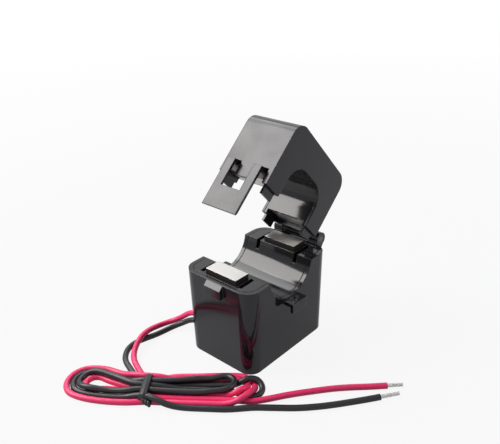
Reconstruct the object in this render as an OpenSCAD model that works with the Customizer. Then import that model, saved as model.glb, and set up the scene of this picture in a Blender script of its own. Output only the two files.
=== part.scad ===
// Split-core current transformer with its lid swung open and its two leads tied in a hank.
// X runs along the cable window, -Y is the latch side, +Y the hinge side and Z is up.
// The origin is at the centre of the case's underside. All sizes are in millimetres.

/* [Case] */
// Width of the case at its rim, along the cable window
case_w = 22.3; // [21:0.1:30]
// Height of the case, up to the plane where the lid parts from it
case_h = 23.2; // [22:0.1:32]
// Radius of the upright corners of the case
case_corner_r = 3.8; // [2:0.1:5]
// Slope of the case's outer walls, in degrees
case_draft = 1.2; // [0:0.1:2]
// Thickness of the case's walls at the rim
case_wall = 1.2; // [0.9:0.05:1.3]
// Thickness of the case's floor
case_floor = 1.5; // [1:0.1:2]
// Width of the inside ledge that carries the cover
ledge_w = 0.5; // [0.3:0.05:0.6]

/* [Cable window] */
// Radius of the cable window
window_r = 8; // [6:0.1:8.05]
// Height of the window's axis above the parting plane
window_rise = 1.2; // [0.5:0.1:2]

/* [Core] */
// Width of both core halves along the cable window
core_w = 9.8; // [6:0.1:9.8]
// Thickness of the core's legs and yokes
core_t = 4.5; // [3:0.1:4.8]
// Play between the core's ends and the lid's panels
core_side = 0.2; // [0.2:0.05:0.3]
// Room between the core's legs and the arch lining
core_room = 0.15; // [0.1:0.05:0.3]
// Outer radius where a leg bends into its yoke
core_bend_r = 3.2; // [1:0.1:4]
// Inner radius where a leg bends into its yoke
core_inner_r = 0.5; // [0.2:0.1:1]
// Height of the lower poles above the parting plane
pole_rise = 1.2; // [0.8:0.1:1.6]
// Air gap between the pole faces when the lid is shut
pole_gap = 0.02; // [0.01:0.01:0.05]
// Height of the lower yoke's underside above the case's underside
yoke_z = 5.4; // [5.2:0.1:6]
// Clearance round the core where plastic holds it
core_fit = 0.1; // [0.05:0.01:0.15]

/* [Inner cover] */
// Thickness of the cover's top
cover_t = 1.4; // [1:0.1:2]
// Depth of the cover's rim inside the case
cover_lip = 5; // [4:0.1:6]
// Thickness of the cover's rim
cover_wall = 0.8; // [0.6:0.1:1]
// Gap of the seam between case and cover
seam = 0.12; // [0.05:0.01:0.2]
// Thickness of the trough under the cable
trough_wall = 1; // [0.8:0.1:1.2]
// Thickness of the thin collar round each pole
collar_t = 0.6; // [0.4:0.05:0.65]
// Play of each skirt in its slot, on each side
slot_play = 0.25; // [0.15:0.05:0.3]
// Depth of the slots that take the lid's skirts
slot_depth = 2.4; // [2.3:0.1:3]
// Thickness of the floor under each slot
slot_floor = 0.8; // [0.5:0.1:1]

/* [Lid] */
// How far the lid's panels stand in from the case's rim
lid_step = 1; // [0.8:0.1:1.1]
// Radius of the lid's long top edges
lid_top_r = 3.6; // [2:0.1:4]
// Thickness of the lid's two end walls
lid_end_wall = 0.75; // [0.6:0.05:0.8]
// Thickness of the lid's front panel and back wall
lid_wall = 0.9; // [0.7:0.05:0.95]
// Thickness of the lid's roof
lid_roof = 1; // [0.8:0.1:1.2]
// Height of the lid's arch above the parting plane
arch_h = 9.8; // [9.4:0.1:9.9]
// Gap between the lid's arch and the cable window's radius
arch_clear = 0.05; // [0.03:0.01:0.1]
// Radius of the arch's upper corners
arch_r = 5.2; // [4:0.1:6]
// Thickness of the arch lining
lining_t = 0.5; // [0.4:0.05:0.55]
// Thickness of the skirts beside the poles
skirt_t = 0.65; // [0.5:0.05:0.7]
// Reach of the skirts below the parting plane
skirt_drop = 2; // [1:0.1:2.1]
// Height of the core guides inside the lid
guide_h = 8; // [4:0.1:8.5]
// Gap between lid and case at the parting plane
parting_gap = 0.05; // [0.03:0.01:0.1]

/* [Latch] */
// Width of the latch strap
strap_w = 10.4; // [9:0.1:11.6]
// Thickness of the latch strap
strap_t = 0.65; // [0.5:0.05:1]
// Running gap between the strap and the case's face
strap_gap = 0.2; // [0.15:0.05:0.4]
// Height of the bar across the foot of the strap
bar_h = 5.7; // [3:0.1:7]
// Width of the slot cut each side of the strap
strap_slot = 0.7; // [0.4:0.1:1]
// Height of the strap's root above the parting plane
strap_root = 3.7; // [2.8:0.1:5]
// How much lower the strap's outer end of the step lies than its root
strap_fall = 0.5; // [0.3:0.1:1]
// Width of the slot each side of the flap that fills the window's upper part
flap_slot = 0.5; // [0.4:0.05:0.8]
// Width of the catch on the case
catch_w = 5.2; // [3:0.1:6]
// How far the catch stands out of the case's face
catch_out = 1.15; // [0.8:0.05:1.3]
// Height of the catch
catch_h = 3.5; // [2:0.1:4]
// Play between the catch and its window on each side
latch_play = 0.3; // [0.1:0.05:0.5]
// Play under the catch when the lid is shut
latch_slack = 0.3; // [0.05:0.05:0.4]

/* [Hinge] */
// Angle by which the lid stands open, in degrees
open_angle = 47.3; // [0:0.1:110]
// Radius of the hinge knuckles
knuckle_r = 1.8; // [1.4:0.1:2.2]
// Width of the lid's middle knuckle
knuckle_w = 8; // [5:0.1:9]
// Width of each of the case's two hinge ears
ear_w = 3; // [2:0.1:4]
// Side gap between the knuckles
knuckle_gap = 0.25; // [0.1:0.05:0.4]
// Gap between the knuckles and the case's back face
hinge_gap = 0.25; // [0.15:0.05:0.5]
// Height of the hinge axis above the parting plane
hinge_rise = 0.7; // [0.3:0.1:1]
// Radius of the hinge pin
pin_r = 0.75; // [0.5:0.05:0.9]
// Radial clearance of the pin in the lid's knuckle
pin_clear = 0.05; // [0.02:0.01:0.1]
// Slope of the webs that carry the knuckles, in degrees
web_slope = 33; // [20:1:45]

/* [Tie hooks] */
// Width of each cable-tie hook
hook_w = 5.4; // [3:0.1:8]
// How far each hook stands out of the case's wall
hook_out = 2.6; // [2:0.1:4]
// Thickness of the hook's arm
hook_t = 1; // [0.7:0.1:1.4]
// Thickness of the hook's turned-down lip
hook_lip = 0.8; // [0.5:0.1:1.2]
// Overall height of the hook
hook_h = 2.5; // [1.8:0.1:4]
// Depth of the hook's arm below the bottom of the window
hook_drop = 0.2; // [0.1:0.05:1]

/* [Core spring] */
// Height of the bowed leaf between the upper yoke and the lid's roof
spring_rise = 1.5; // [0.8:0.1:2]
// Thickness of the leaf that presses the core halves together
spring_t = 0.3; // [0.2:0.05:0.4]
// Distance of the leaf's ends from where the upper core starts to bend
spring_inset = 2; // [1:0.1:4]

/* [Coil] */
// Thickness of the bobbin's tube
bobbin_wall = 0.7; // [0.5:0.05:0.8]
// Thickness of the bobbin's flanges
flange_t = 0.8; // [0.6:0.1:1]
// Height of the flanges above the winding
flange_rise = 0.35; // [0.2:0.05:0.4]
// Radial build of the winding
winding_t = 2.1; // [1:0.1:2.2]
// Corner radius of the winding
winding_r = 1.6; // [0.8:0.1:2]
// Thickness of the insulating tape over the winding
tape_t = 0.15; // [0.05:0.05:0.2]
// Distance of the winding's two bare ends inside its surface
wire_in = 0.65; // [0.5:0.05:0.8]
// Radius of the winding's two bare ends
wire_r = 0.2; // [0.1:0.05:0.3]

/* [Splices and suppressor] */
// Distance of the sleeves' inner ends from the core
sleeve_room = 0.65; // [0.5:0.05:1]
// Radius of the sleeves over the spliced joints
sleeve_r = 1; // [0.9:0.05:1.05]
// Thickness of the bush's flange inside the wall
bush_flange_t = 0.7; // [0.5:0.1:1]
// How much wider the bush's flange is than the bush, all round
bush_flange_w = 0.55; // [0.3:0.05:0.7]
// Gap between the bush and its opening in the wall
bush_fit = 0.03; // [0.02:0.01:0.1]
// Gap between the bush's flange and the inside of the wall
bush_seat = 0.12; // [0.1:0.01:0.2]
// Plastic of the bush round each lead
bush_wall = 0.5; // [0.3:0.05:0.7]
// Radius of the surge suppressor's body
suppressor_r = 1.3; // [0.8:0.1:1.4]
// Length of the surge suppressor's body
suppressor_l = 5; // [3:0.1:6]
// Radius of the surge suppressor's wires
suppressor_wire_r = 0.3; // [0.2:0.05:0.4]
// Length of straight wire at each end of the suppressor
suppressor_stub = 1.6; // [1:0.1:2.5]

/* [Leads] */
// Outside diameter of each lead
lead_d = 1.5; // [1:0.1:1.6]
// Distance of the leads' exit from the inside of the front wall
exit_in = 3.3; // [3.1:0.1:3.6]
// Height of the black lead's exit
exit_z = 4.2; // [4:0.1:4.4]
// Distance between the two leads at the exit
exit_pitch = 2.2; // [2.15:0.05:2.4]
// Diameter of the tinned wire ends
tinned_d = 1; // [0.6:0.1:1.3]
// Length of the red lead's tinned end
red_tinned_l = 3.8; // [2:0.1:6]
// Length of the black lead's tinned end
black_tinned_l = 4.8; // [2:0.1:6]
// Height of the tied hank
hank_h = 3.3; // [3:0.1:5]
// Thickness of the tie round the hank
tie_t = 0.4; // [0.2:0.05:0.6]
// Width of the tie along the hank
tie_w = 1.3; // [0.8:0.1:2]
// Length of the hank across the tie
tie_span = 8.6; // [7:0.1:9]
// Length of the tie's loose ends
tie_end_l = 2.6; // [1:0.1:4]

/* [Hidden] */
$fn = 64;
eps = 0.01;

// Core, and the lid and case that are built round it
arch_half = window_r + arch_clear;
leg_in = arch_half + lining_t + core_room;
leg_out = leg_in + core_t;
core_l = 2 * leg_out;
lid_l = core_l + 2 * (core_side + lid_wall);
case_d = lid_l + 2 * lid_step;

// Case
draft_in = case_h * tan(case_draft);
upper_w = case_w - 2 * case_wall;
upper_d = case_d - 2 * case_wall;
inner_r = case_corner_r - case_wall;
ledge_z = case_h - cover_lip;
window_z = case_h + window_rise;
trough_r = window_r + trough_wall;

// Poles and coil
pole_z = case_h + pole_rise;
upper_pole_z = pole_z + pole_gap;
lining_top = arch_h + lining_t;
upper_yoke_z = case_h + lining_top + core_fit;
lid_h = upper_yoke_z - case_h + core_t + spring_rise + lid_roof;
yoke_mid = yoke_z + core_t / 2;
bobbin_half = leg_in - core_inner_r - core_fit;
tube_in = core_fit;
tube_out = tube_in + bobbin_wall;
coil_out = tube_out + winding_t;
flange_out = coil_out + flange_rise;
coil_half = bobbin_half - flange_t;

// Slots in the cover and skirts on the lid
pole_hole = core_w / 2 + core_fit;
collar_x = pole_hole + collar_t;
skirt_in = collar_x + slot_play;
lining_x = skirt_in + skirt_t;
slot_x = lining_x + slot_play;
lid_w = 2 * (lining_x + parting_gap + lid_end_wall);
skirt_y = leg_out - core_fit;

// Latch and hinge
panel_y = -lid_l / 2;
face_y = -case_d / 2;
strap_in = face_y - strap_gap;
strap_out = strap_in - strap_t;
catch_top = case_h - 0.1;
catch_z = catch_top - catch_h;
bar_top = catch_z - latch_slack;
strap_foot = bar_top - bar_h;
latch_w = catch_w + 2 * latch_play;
hinge_y = case_d / 2 + hinge_gap + knuckle_r;
hinge_z = case_h + hinge_rise;
ear_x = knuckle_w / 2 + knuckle_gap;
pin_l = 2 * (ear_x + ear_w);

// Exit of the leads
exit_y = -(case_d / 2 - case_wall - ledge_w - exit_in);
lead_r = lead_d / 2;
bush_r = lead_r + bush_wall;
red_z = exit_z + exit_pitch;
wall_out_x = -(case_w / 2 - (case_h - (exit_z + red_z) / 2) * tan(case_draft));
bush_out_x = wall_out_x - 0.1;
bush_in_x = -(case_w / 2 - case_wall - ledge_w) + bush_seat;
sleeve_x = bush_in_x + bush_flange_t;
suppressor_x = -(core_w / 2 + coil_out - wire_in);
sleeve_l = -sleeve_x - core_w / 2 - sleeve_room;

// Routes of the leads, as they lie on the table
red_route = concat([[bush_out_x, exit_y, red_z]],
    [[-13.4, -10.3, 6.3], [-15.8, -10.3, 5.1], [-18, -10.5, 3.2], [-20, -11.2, 1.7],
     [-21.7, -13, 1], [-22.3, -15.8, 1.1], [-21.9, -18.9, 1.8], [-21, -22, 2.3],
     [-19.7, -25.2, 1.9], [-17.5, -28.2, 1.1], [-14.2, -30.5, 0.8], [-10.6, -31.8, 0.8]]);
black_route = concat([[bush_out_x, exit_y, exit_z]],
    [[-13.2, -10.3, 4.1], [-15.4, -10.6, 3.2], [-17.4, -11.4, 1.8], [-19, -13.2, 1],
     [-19.6, -16, 0.8], [-20.1, -19, 0.8], [-21, -22, 0.8], [-21.5, -25, 0.8],
     [-20.5, -28, 0.8], [-18, -30.6, 0.8], [-14.6, -32.6, 0.8]]);
red_tail_route = [[15.6, -21.6, 0.8], [17.8, -19.4, 0.8], [20, -16.7, 0.8], [22.4, -13.4, 0.8],
    [25.2, -9.8, 0.8], [28.3, -6, 0.8], [31.4, -2.8, 0.8], [34.4, 0, 0.8], [37.4, 3, 0.8]];
black_tail_route = [[6, -31.4, 0.8], [9, -28.8, 0.8], [12.2, -26.3, 0.8], [15.5, -24, 0.8],
    [19, -21.7, 0.8], [22.4, -19.4, 0.8], [25.6, -16.8, 0.8], [28.6, -13.8, 0.8],
    [31.2, -10.8, 0.8], [33.6, -7.7, 0.8], [36, -4.5, 0.8], [38.2, -1.4, 0.8]];

// The hank: two straight limbs that bend at the tie, as [x, y, end radius]
hank_left = [-19, -41.4, 5.8];
hank_tied = [-5, -34.6, 4.4];
hank_right = [14, -19.3, 4.7];
tie_angle = 38;

// Lifts a flat outline, drawn with its x along Y and its y along Z, into a bar along X.
module along_x(length) {
    rotate([90, 0, 90]) linear_extrude(length, center = true) children();
}

// Lifts a flat outline, drawn with its x along X and its y along Z, into a bar along Y.
module along_y(length) {
    rotate([90, 0, 0]) linear_extrude(length, center = true) children();
}

// A rectangle with four round corners.
module rounded_rect(w, d, r) {
    square([w - 2 * r, d], center = true);
    square([w, d - 2 * r], center = true);
    for (sx = [-1, 1], sy = [-1, 1])
        translate([sx * (w / 2 - r), sy * (d / 2 - r)]) circle(r);
}

// A rectangle that stands on its straight side and has two round upper corners.
module arched_rect(w, h, r) {
    translate([-w / 2, 0]) square([w, h - r]);
    translate([-w / 2 + r, 0]) square([w - 2 * r, h]);
    for (s = [-1, 1]) translate([s * (w / 2 - r), h - r]) circle(r);
}

// The U outline of one core half, with its poles at y = 0 and its yoke above them.
module core_outline(leg_l) {
    difference() {
        arched_rect(core_l, leg_l + core_t, core_bend_r);
        translate([0, -eps]) arched_rect(core_l - 2 * core_t, leg_l + eps, core_inner_r);
    }
}

// Swings what is drawn shut into the lid's open position.
module lid_open() {
    translate([0, hinge_y, hinge_z]) rotate([-open_angle, 0, 0])
        translate([0, -hinge_y, -hinge_z]) children();
}

// Puts a copy on the latch side and its mirror image on the hinge side.
module both_sides() {
    children();
    mirror([0, 1, 0]) children();
}

// Puts a copy at +X and its mirror image at -X.
module both_ends() {
    children();
    mirror([1, 0, 0]) children();
}

// A bar of round section along X.
module rod_x(r, length) {
    rotate([0, 90, 0]) cylinder(r = r, h = length, center = true);
}

// A side view that narrows by the draft from rim to floor.
module drafted_side(width) {
    polygon([[-width / 2, case_h], [width / 2, case_h],
        [width / 2 - draft_in, 0], [-width / 2 + draft_in, 0]]);
}

// The case's outer form: two drafted slabs that cross, with a cone in each corner.
module case_body() {
    centre = [case_w / 2 - case_corner_r, case_d / 2 - case_corner_r];
    along_x(2 * centre[0]) drafted_side(case_d);
    along_y(2 * centre[1]) drafted_side(case_w);
    for (sx = [-1, 1], sy = [-1, 1]) translate([sx * centre[0], sy * centre[1], 0])
        cylinder(r1 = case_corner_r - draft_in, r2 = case_corner_r, h = case_h);
}

module case_cavity() {
    translate([0, 0, ledge_z]) linear_extrude(case_h) rounded_rect(upper_w, upper_d, inner_r);
    translate([0, 0, case_floor]) linear_extrude(case_h)
        rounded_rect(upper_w - 2 * ledge_w, upper_d - 2 * ledge_w, inner_r - ledge_w);
}

// The ramped catch that holds the latch strap's bar.
module case_catch() {
    along_x(catch_w) polygon([
        [face_y + case_wall / 2, catch_top], [face_y, catch_top],
        [face_y - catch_out, catch_top - catch_out], [face_y - catch_out, catch_z],
        [face_y + case_wall / 2, catch_z]]);
}

// A hook under the trough's end, for the tie that holds the case to its cable.
module tie_hook() {
    root_x = case_w / 2 - case_wall;
    tip_x = case_w / 2 + hook_out;
    top_z = window_z - window_r - hook_drop;
    along_y(hook_w) polygon([
        [root_x, top_z], [tip_x, top_z], [tip_x, top_z - hook_h],
        [tip_x - hook_lip, top_z - hook_h], [tip_x - hook_lip, top_z - hook_t],
        [root_x, top_z - hook_t]]);
}

// A hinge ear's outline: a knuckle and the web that braces it to the back wall.
module ear_outline() {
    wall_y = case_d / 2 - case_wall / 2;
    touch = [hinge_y + knuckle_r * sin(web_slope), hinge_z - knuckle_r * cos(web_slope)];
    translate([hinge_y, hinge_z]) circle(knuckle_r);
    polygon([[wall_y, case_h - parting_gap], [hinge_y, case_h - parting_gap], [hinge_y, hinge_z],
        touch, [wall_y, touch[1] - (touch[0] - wall_y) / tan(web_slope)]]);
}

module hinge_ears() {
    both_ends() translate([ear_x + ear_w / 2, 0, 0]) along_x(ear_w) ear_outline();
}

// Posts on the floor that the core's yoke stands on.
module core_posts() {
    post_y = bobbin_half + core_fit + 0.2;
    both_sides() translate([-core_w / 3, -leg_out + core_bend_r / 2, case_floor - eps])
        cube([2 * core_w / 3, leg_out - core_bend_r / 2 - post_y, yoke_z - case_floor + eps]);
}

// The opening in the end wall for the leads' bush.
module bush_outline(r) {
    for (z = [exit_z, red_z]) translate([exit_y, z]) circle(r);
    translate([exit_y - r, exit_z]) square([2 * r, exit_pitch]);
}

module lower_case() {
    color([0.07, 0.07, 0.08]) difference() {
        union() {
            difference() {
                case_body();
                case_cavity();
            }
            core_posts();
            case_catch();
            both_ends() tie_hook();
            hinge_ears();
        }
        translate([0, 0, window_z]) rod_x(window_r, case_w + 2);
        translate([0, 0, window_z]) rod_x(trough_r + seam, upper_w);
        translate([-case_w / 2, 0, 0]) along_x(case_w / 2)
            bush_outline(bush_r + bush_fit);
        translate([0, hinge_y, hinge_z]) rod_x(pin_r, 2 * pin_l);
    }
}

// A block round one pole that holds the collar and the slots beside it.
module slot_block() {
    block_y = upper_d / 2 - seam;
    depth = slot_depth + slot_floor;
    translate([-slot_x - cover_wall, -block_y, case_h - depth])
        cube([2 * (slot_x + cover_wall), block_y - leg_in + core_fit, depth]);
}

// The slots each side of a pole; reach is how far they run towards the cable window.
module skirt_slots(reach) {
    both_ends() translate([collar_x, -leg_out - core_fit, case_h - slot_depth])
        cube([slot_x - collar_x, reach, slot_depth + 1]);
}

module inner_cover() {
    top_w = upper_w - 2 * seam;
    top_d = upper_d - 2 * seam;
    r = inner_r - seam;
    color([0.09, 0.09, 0.1]) difference() {
        union() {
            difference() {
                translate([0, 0, ledge_z]) linear_extrude(cover_lip) rounded_rect(top_w, top_d, r);
                translate([0, 0, ledge_z - eps]) linear_extrude(cover_lip - cover_t + eps)
                    rounded_rect(top_w - 2 * cover_wall, top_d - 2 * cover_wall, r - cover_wall);
            }
            intersection() {
                translate([0, 0, window_z]) rod_x(trough_r, top_w);
                translate([-case_w / 2, -trough_r, 0]) cube([case_w, 2 * trough_r, case_h]);
            }
            both_sides() slot_block();
        }
        translate([0, 0, window_z]) rod_x(window_r, case_w);
        both_sides() translate([-pole_hole, -leg_out - core_fit, 0])
            cube([2 * pole_hole, core_t + 2 * core_fit, case_h + 1]);
        skirt_slots(core_t + 3 * core_fit);
        mirror([0, 1, 0]) skirt_slots(leg_out + core_fit - window_r + 1);
    }
}

module lower_core() {
    color([0.62, 0.62, 0.62]) translate([0, 0, pole_z]) mirror([0, 0, 1])
        along_x(core_w) core_outline(pole_z - yoke_z - core_t);
}

// A square frame round the yoke; grow is how far it stands off the core.
module yoke_frame(grow, r) {
    translate([0, yoke_mid]) rounded_rect(core_w + 2 * grow, core_t + 2 * grow, r);
}

module whole_bobbin() {
    flange_y = bobbin_half - flange_t / 2;
    difference() {
        union() {
            along_y(2 * bobbin_half) yoke_frame(tube_out, bobbin_wall);
            both_sides() translate([0, -flange_y, 0]) along_y(flange_t)
                yoke_frame(flange_out, winding_r);
        }
        along_y(2 * bobbin_half + 1) translate([0, yoke_mid])
            square([core_w + 2 * tube_in, core_t + 2 * tube_in], center = true);
        winding_exits(2 * wire_r);
    }
}

// Bars along Y where the winding's two ends leave it for the splices.
module winding_exits(r) {
    for (z = [exit_z, red_z]) translate([suppressor_x, (exit_y + sleeve_r - coil_half) / 2, z])
        rotate([90, 0, 0]) cylinder(r = r, h = -coil_half - exit_y - sleeve_r, center = true);
}

// Keeps the part of its children above or below the yoke's middle.
module yoke_half(up) {
    intersection() {
        children();
        translate([-case_w / 2, -case_d / 2, up ? yoke_mid : yoke_mid - case_h])
            cube([case_w, case_d, case_h]);
    }
}

module bobbin_top() {
    color([0.85, 0.83, 0.76]) yoke_half(true) whole_bobbin();
}

module bobbin_bottom() {
    color([0.85, 0.83, 0.76]) yoke_half(false) whole_bobbin();
}

module winding() {
    color([0.72, 0.38, 0.2]) {
        along_y(2 * coil_half) difference() {
            yoke_frame(coil_out, winding_r);
            yoke_frame(tube_out, bobbin_wall);
        }
        winding_exits(wire_r);
    }
}

module winding_tape() {
    color([0.9, 0.75, 0.2]) along_y(2 * coil_half) difference() {
        yoke_frame(coil_out + tape_t, winding_r + tape_t);
        yoke_frame(coil_out, winding_r);
    }
}

module splice_sleeve(z) {
    translate([sleeve_x + sleeve_l / 2, exit_y, z]) rod_x(sleeve_r, sleeve_l);
}

module red_splice() {
    color([0.1, 0.1, 0.1]) splice_sleeve(red_z);
}

module black_splice() {
    color([0.1, 0.1, 0.1]) splice_sleeve(exit_z);
}

module lead_bush() {
    color([0.12, 0.12, 0.12]) {
        translate([(bush_out_x + bush_in_x) / 2, 0, 0]) along_x(bush_in_x - bush_out_x)
            bush_outline(bush_r);
        translate([bush_in_x + bush_flange_t / 2, 0, 0]) along_x(bush_flange_t)
            bush_outline(bush_r + bush_flange_w);
    }
}

// A diode across the leads; one wire stands on the red splice, the other loops to the black one.
module surge_suppressor() {
    foot_z = red_z + sleeve_r;
    body_z = foot_z + suppressor_stub;
    top_z = body_z + suppressor_l + suppressor_stub;
    loop_y = exit_y - suppressor_r - 2 * suppressor_wire_r;
    color([0.15, 0.15, 0.16]) translate([suppressor_x, exit_y, body_z])
        cylinder(r = suppressor_r, h = suppressor_l);
    color([0.8, 0.8, 0.82]) {
        translate([suppressor_x, exit_y, foot_z])
            cylinder(r = suppressor_wire_r, h = top_z - foot_z);
        translate([suppressor_x, loop_y, exit_z]) cylinder(r = suppressor_wire_r, h = top_z - exit_z);
        for (run = [[top_z, exit_y], [exit_z, exit_y - sleeve_r]])
            translate([suppressor_x, loop_y, run[0]]) rotate([-90, 0, 0])
                cylinder(r = suppressor_wire_r, h = run[1] - loop_y);
        for (y = [exit_y, loop_y]) translate([suppressor_x, y, top_z]) sphere(suppressor_wire_r);
        translate([suppressor_x, loop_y, exit_z]) sphere(suppressor_wire_r);
    }
}

module hinge_pin() {
    color([0.75, 0.75, 0.77]) translate([0, hinge_y, hinge_z]) rod_x(pin_r, pin_l);
}

// The arch through the lid's end walls; grow widens it for the lining.
module arch_outline(grow) {
    translate([0, case_h]) arched_rect(2 * (arch_half + grow), arch_h + grow, arch_r + grow);
}

// The latch strap's side view: it steps out of the panel past the case and hangs straight.
module strap_outline() {
    root_z = case_h + strap_root;
    step_z = root_z - strap_fall;
    polygon([[panel_y, root_z], [strap_out, step_z], [strap_out, strap_foot],
        [strap_in - strap_t / 3, strap_foot], [strap_in, strap_foot + strap_t],
        [strap_in, step_z - strap_t], [panel_y + lid_wall, root_z - strap_t],
        [panel_y + lid_wall, root_z]]);
}

// The strap with its two arms, and the panel's flap between them.
module latch_strap() {
    flap_w = latch_w - 2 * flap_slot;
    difference() {
        along_x(strap_w) strap_outline();
        translate([-latch_w / 2, strap_out - 1, bar_top])
            cube([latch_w, panel_y + lid_wall - strap_out + 2, case_h + strap_root - bar_top]);
    }
    translate([-flap_w / 2, panel_y, case_h + parting_gap])
        cube([flap_w, lid_wall, strap_root - parting_gap + eps]);
}

// The lid's knuckle and the web that carries it behind the back wall.
module lid_knuckle_outline() {
    wall_y = lid_l / 2 - lid_wall / 2;
    low_z = case_h + 2 * parting_gap;
    touch = [hinge_y + knuckle_r * sin(web_slope), hinge_z + knuckle_r * cos(web_slope)];
    translate([hinge_y, hinge_z]) circle(knuckle_r);
    polygon([[wall_y, low_z], [hinge_y, low_z], [hinge_y, hinge_z], touch,
        [wall_y, touch[1] + (touch[0] - wall_y) * tan(web_slope)]]);
}

module lid_box() {
    low_z = case_h + parting_gap;
    inner_l = lid_l - 2 * lid_wall;
    difference() {
        translate([0, 0, low_z]) along_x(lid_w)
            arched_rect(lid_l, lid_h - parting_gap, lid_top_r);
        translate([0, 0, low_z - eps]) along_x(lid_w - 2 * lid_end_wall)
            arched_rect(inner_l, lid_h - lid_roof - parting_gap + eps, lid_top_r - lid_wall);
        translate([0, 0, -eps]) along_x(lid_w + 1) arch_outline(0);
        along_x(lid_w - 2 * lid_end_wall) arch_outline(lining_t + parting_gap);
    }
}

module lid_shell() {
    slot_out = strap_w / 2 + strap_slot;
    color([0.07, 0.07, 0.08]) lid_open() difference() {
        union() {
            difference() {
                lid_box();
                translate([-slot_out, panel_y - 1, case_h - 1])
                    cube([2 * slot_out, lid_wall + 1 + parting_gap, strap_root + 1]);
            }
            latch_strap();
            along_x(knuckle_w) lid_knuckle_outline();
        }
        translate([0, hinge_y, hinge_z]) rod_x(pin_r + pin_clear, 2 * knuckle_w);
    }
}

// A plate beside one upper pole: a thin skirt below and a thick guide for the core above.
module pole_plate() {
    guide_x = core_w / 2 + core_fit;
    both_ends() {
        translate([skirt_in, -skirt_y, case_h - skirt_drop])
            cube([skirt_t, skirt_y - leg_in - core_fit, skirt_drop + parting_gap]);
        translate([skirt_in, -skirt_y, case_h + parting_gap])
            cube([skirt_t, skirt_y - arch_half, guide_h]);
        translate([guide_x, -skirt_y, pole_z + 2 * parting_gap])
            cube([lining_x - guide_x, skirt_y - arch_half, guide_h - pole_rise]);
    }
}

module lid_lining() {
    color([0.09, 0.09, 0.1]) lid_open() {
        difference() {
            translate([0, 0, parting_gap]) along_x(2 * lining_x) arch_outline(lining_t);
            translate([0, 0, -eps]) along_x(lid_w) arch_outline(0);
            for (cut = [[lid_w, parting_gap], [2 * skirt_in, pole_rise + 2 * parting_gap]])
                translate([-cut[0] / 2, -leg_in, 0]) cube([cut[0], 2 * leg_in, case_h + cut[1]]);
        }
        both_sides() pole_plate();
    }
}

module upper_core() {
    color([0.62, 0.62, 0.62]) lid_open() translate([0, 0, upper_pole_z])
        along_x(core_w) core_outline(upper_yoke_z - upper_pole_z);
}

// A bowed leaf between the lid's roof and the upper yoke, drawn as an arc strip.
module core_spring() {
    yoke_top = upper_yoke_z + core_t;
    half_span = leg_out - core_bend_r - spring_inset;
    bow_r = (half_span * half_span + spring_rise * spring_rise) / (2 * spring_rise);
    color([0.7, 0.7, 0.72]) lid_open() intersection() {
        along_x(core_w * 0.6) translate([0, yoke_top + spring_rise - bow_r]) difference() {
            circle(bow_r, $fn = 180);
            circle(bow_r - spring_t, $fn = 180);
        }
        translate([-core_w / 2, -half_span, yoke_top]) cube([core_w, 2 * half_span, spring_rise]);
    }
}

function unit(v) = v / norm(v);
function heading(p, i) = unit(p[min(i + 1, len(p) - 1)] - p[max(i - 1, 0)]);
function ring(p, i, r, sides) =
    let (t = heading(p, i), side = unit(cross(t, [0, 0, 1])), up = cross(side, t))
    [for (k = [0:sides - 1]) p[i] + r * (cos(360 * k / sides) * side + sin(360 * k / sides) * up)];

// A tube of eight sides swept through a list of points.
module tube(route, r) {
    sides = 8;
    last = len(route) - 1;
    points = [for (i = [0:last]) each ring(route, i, r, sides)];
    walls = [for (i = [0:last - 1], k = [0:sides - 1])
        let (a = i * sides + k, b = i * sides + (k + 1) % sides) [a, a + sides, b + sides, b]];
    first_cap = [for (k = [0:sides - 1]) k];
    last_cap = [for (k = [sides - 1:-1:0]) last * sides + k];
    polyhedron(points = points, faces = concat(walls, [first_cap, last_cap]), convexity = 4);
}

module red_lead() {
    color([0.85, 0.12, 0.3]) tube(red_route, lead_r);
}

module black_lead() {
    color([0.12, 0.12, 0.13]) tube(black_route, lead_r);
}

module red_tail() {
    color([0.85, 0.12, 0.3]) tube(red_tail_route, lead_r);
}

module black_tail() {
    color([0.12, 0.12, 0.13]) tube(black_tail_route, lead_r);
}

// The bare tinned strands that carry on from the end of a lead.
module tinned_end(route, length) {
    last = len(route) - 1;
    way = heading(route, last);
    translate(route[last]) rotate([0, 0, atan2(way[1], way[0])]) rotate([0, 90, 0])
        cylinder(d = tinned_d, h = length);
}

module red_tinned_end() {
    color([0.8, 0.8, 0.8]) tinned_end(red_tail_route, red_tinned_l);
}

module black_tinned_end() {
    color([0.8, 0.8, 0.8]) tinned_end(black_tail_route, black_tinned_l);
}

// One straight limb of the hank's outline, between two of its round ends.
module hank_limb(from, to) {
    hull() {
        for (end = [from, to]) translate([end[0], end[1]]) circle(end[2], $fn = 32);
    }
}

// Moves what is drawn across Y to the tie's place, square to the hank.
module at_tie() {
    translate([hank_tied[0], hank_tied[1], 0]) rotate([0, 0, tie_angle]) children();
}

// A slab as wide as the tie, with the space inside the tie left out.
module tie_band(outer) {
    along_x(tie_w) difference() {
        translate([-outer / 2, 0]) square([outer, hank_h]);
        translate([-tie_span / 2 + tie_t, tie_t]) square([tie_span - 2 * tie_t, hank_h - 2 * tie_t]);
    }
}

module lead_hank() {
    color([0.45, 0.12, 0.2]) difference() {
        linear_extrude(hank_h) {
            hank_limb(hank_left, hank_tied);
            hank_limb(hank_tied, hank_right);
        }
        at_tie() tie_band(4 * tie_span);
    }
}

module hank_tie() {
    color([0.1, 0.1, 0.1]) at_tie() {
        tie_band(tie_span);
        for (s = [-1, 1]) translate([s * tie_w / 4, -tie_span / 2, hank_h / 2])
            rotate([90, 0, s * 12]) cylinder(r = tie_w / 4, h = tie_end_l);
    }
}

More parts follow.
